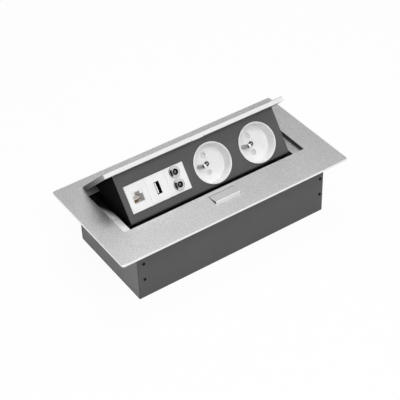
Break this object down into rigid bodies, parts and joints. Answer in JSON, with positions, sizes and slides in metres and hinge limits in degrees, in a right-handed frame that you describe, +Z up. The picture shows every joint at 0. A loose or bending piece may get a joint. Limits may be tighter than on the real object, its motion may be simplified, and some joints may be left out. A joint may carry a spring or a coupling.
{
  "type": "flip-up desk socket block",
  "caption": "Flip-up desk socket block: a flanged box whose sprung lid carries mains sockets and network, USB and audio modules.",
  "frame": {"origin": "centre of the box's bottom face, under the middle of the flange", "axes": "+X along the flange to the right, +Y to the hinge at the rear, +Z up"},
  "size_m": [0.28, 0.138, 0.1169],
  "materials": {
    "silver": "fine silver grain, satin",
    "lid_silver": "fine silver grain, satin",
    "graphite": "satin dark grey powder coat",
    "black_paint": "matt black",
    "dark_screw": "blackened",
    "zinc": "bright zinc",
    "spring_steel": "plain",
    "magnet": "nickel plated",
    "rubber": "matt",
    "black_plastic": "matt",
    "grey_plastic": "matt",
    "white_plastic": "glossy white",
    "port_white": "glossy white",
    "shutter_plastic": "matt",
    "brass": "plain",
    "nickel": "nickel plated",
    "chrome": "polished",
    "gilt": "gold plated",
    "board": "glass fibre board"
  },
  "bodies": {
    "housing": {"frame": "silver", "box_wrap": "graphite", "end_plate_left": "graphite", "end_plate_right": "graphite", "side_screws": "dark_screw", "ledge_screws": "zinc", "wrap_screws": "zinc", "bracket_screws": "zinc", "guide_screws": "zinc", "grommet_left": "rubber", "grommet_right": "rubber", "hinge_bracket_left": "zinc", "hinge_bracket_right": "zinc", "hinge_pin_left": "zinc", "hinge_pin_right": "zinc", "lift_spring_left": "spring_steel", "lift_spring_right": "spring_steel", "latch_guide": "black_plastic", "latch_spring": "spring_steel"},
    "flap": {"audio_barrels": "chrome", "audio_contacts": "nickel", "audio_cores": "black_plastic", "audio_plate": "white_plastic", "audio_seals": "black_plastic", "back_cover": "black_paint", "bus_bar_earth": "brass", "bus_bar_line": "brass", "bus_bar_neutral": "brass", "cable_bush": "rubber", "cheek_left": "black_paint", "cheek_right": "black_paint", "contact_sleeves_1": "brass", "contact_sleeves_2": "brass", "cup_screw_1": "zinc", "cup_screw_2": "zinc", "earth_pin_1": "nickel", "earth_pin_2": "nickel", "lid": "lid_silver", "lid_keeper": "zinc", "lid_screws": "zinc", "module_carrier": "black_plastic", "network_jack": "port_white", "network_plate": "white_plastic", "network_wires": "gilt", "panel": "graphite", "socket_base_1": "grey_plastic", "socket_base_2": "grey_plastic", "socket_face_1": "white_plastic", "socket_face_2": "white_plastic", "usb_board": "board", "usb_contacts": "gilt", "usb_plate": "white_plastic", "usb_shell": "nickel", "usb_tongue": "white_plastic"},
    "latch": {"latch_button": "silver", "magnet_carrier": "black_plastic", "latch_magnet": "magnet"},
    "shutter_plate_1": {"shutter_1": "shutter_plastic"},
    "shutter_plate_2": {"shutter_2": "shutter_plastic"}
  },
  "joints": [
    {"name": "flap_hinge", "type": "hinge", "parent": "housing", "child": "flap", "pos_m": [0, 0.0488, 0.049], "axis": [1, 0, 0], "range_deg": [0, 45], "stiffness_Nm_per_rad": 0.25, "springref_deg": -126.05, "deforming": ["lift_spring_left", "lift_spring_right"]},
    {"name": "latch_press", "type": "slide", "parent": "housing", "child": "latch", "axis": [0, 0, -1], "range_m": [0, 0.002], "stiffness_N_per_m": 300, "springref_m": -0.003, "deforming": ["latch_spring"]},
    {"name": "shutter_slide_1", "type": "slide", "parent": "flap", "child": "shutter_plate_1", "axis": [1, 0, 0], "range_m": [0, 0.0064], "stiffness_N_per_m": 20, "springref_m": -0.003},
    {"name": "shutter_slide_2", "type": "slide", "parent": "flap", "child": "shutter_plate_2", "axis": [1, 0, 0], "range_m": [0, 0.0064], "stiffness_N_per_m": 20, "springref_m": -0.003}
  ]
}
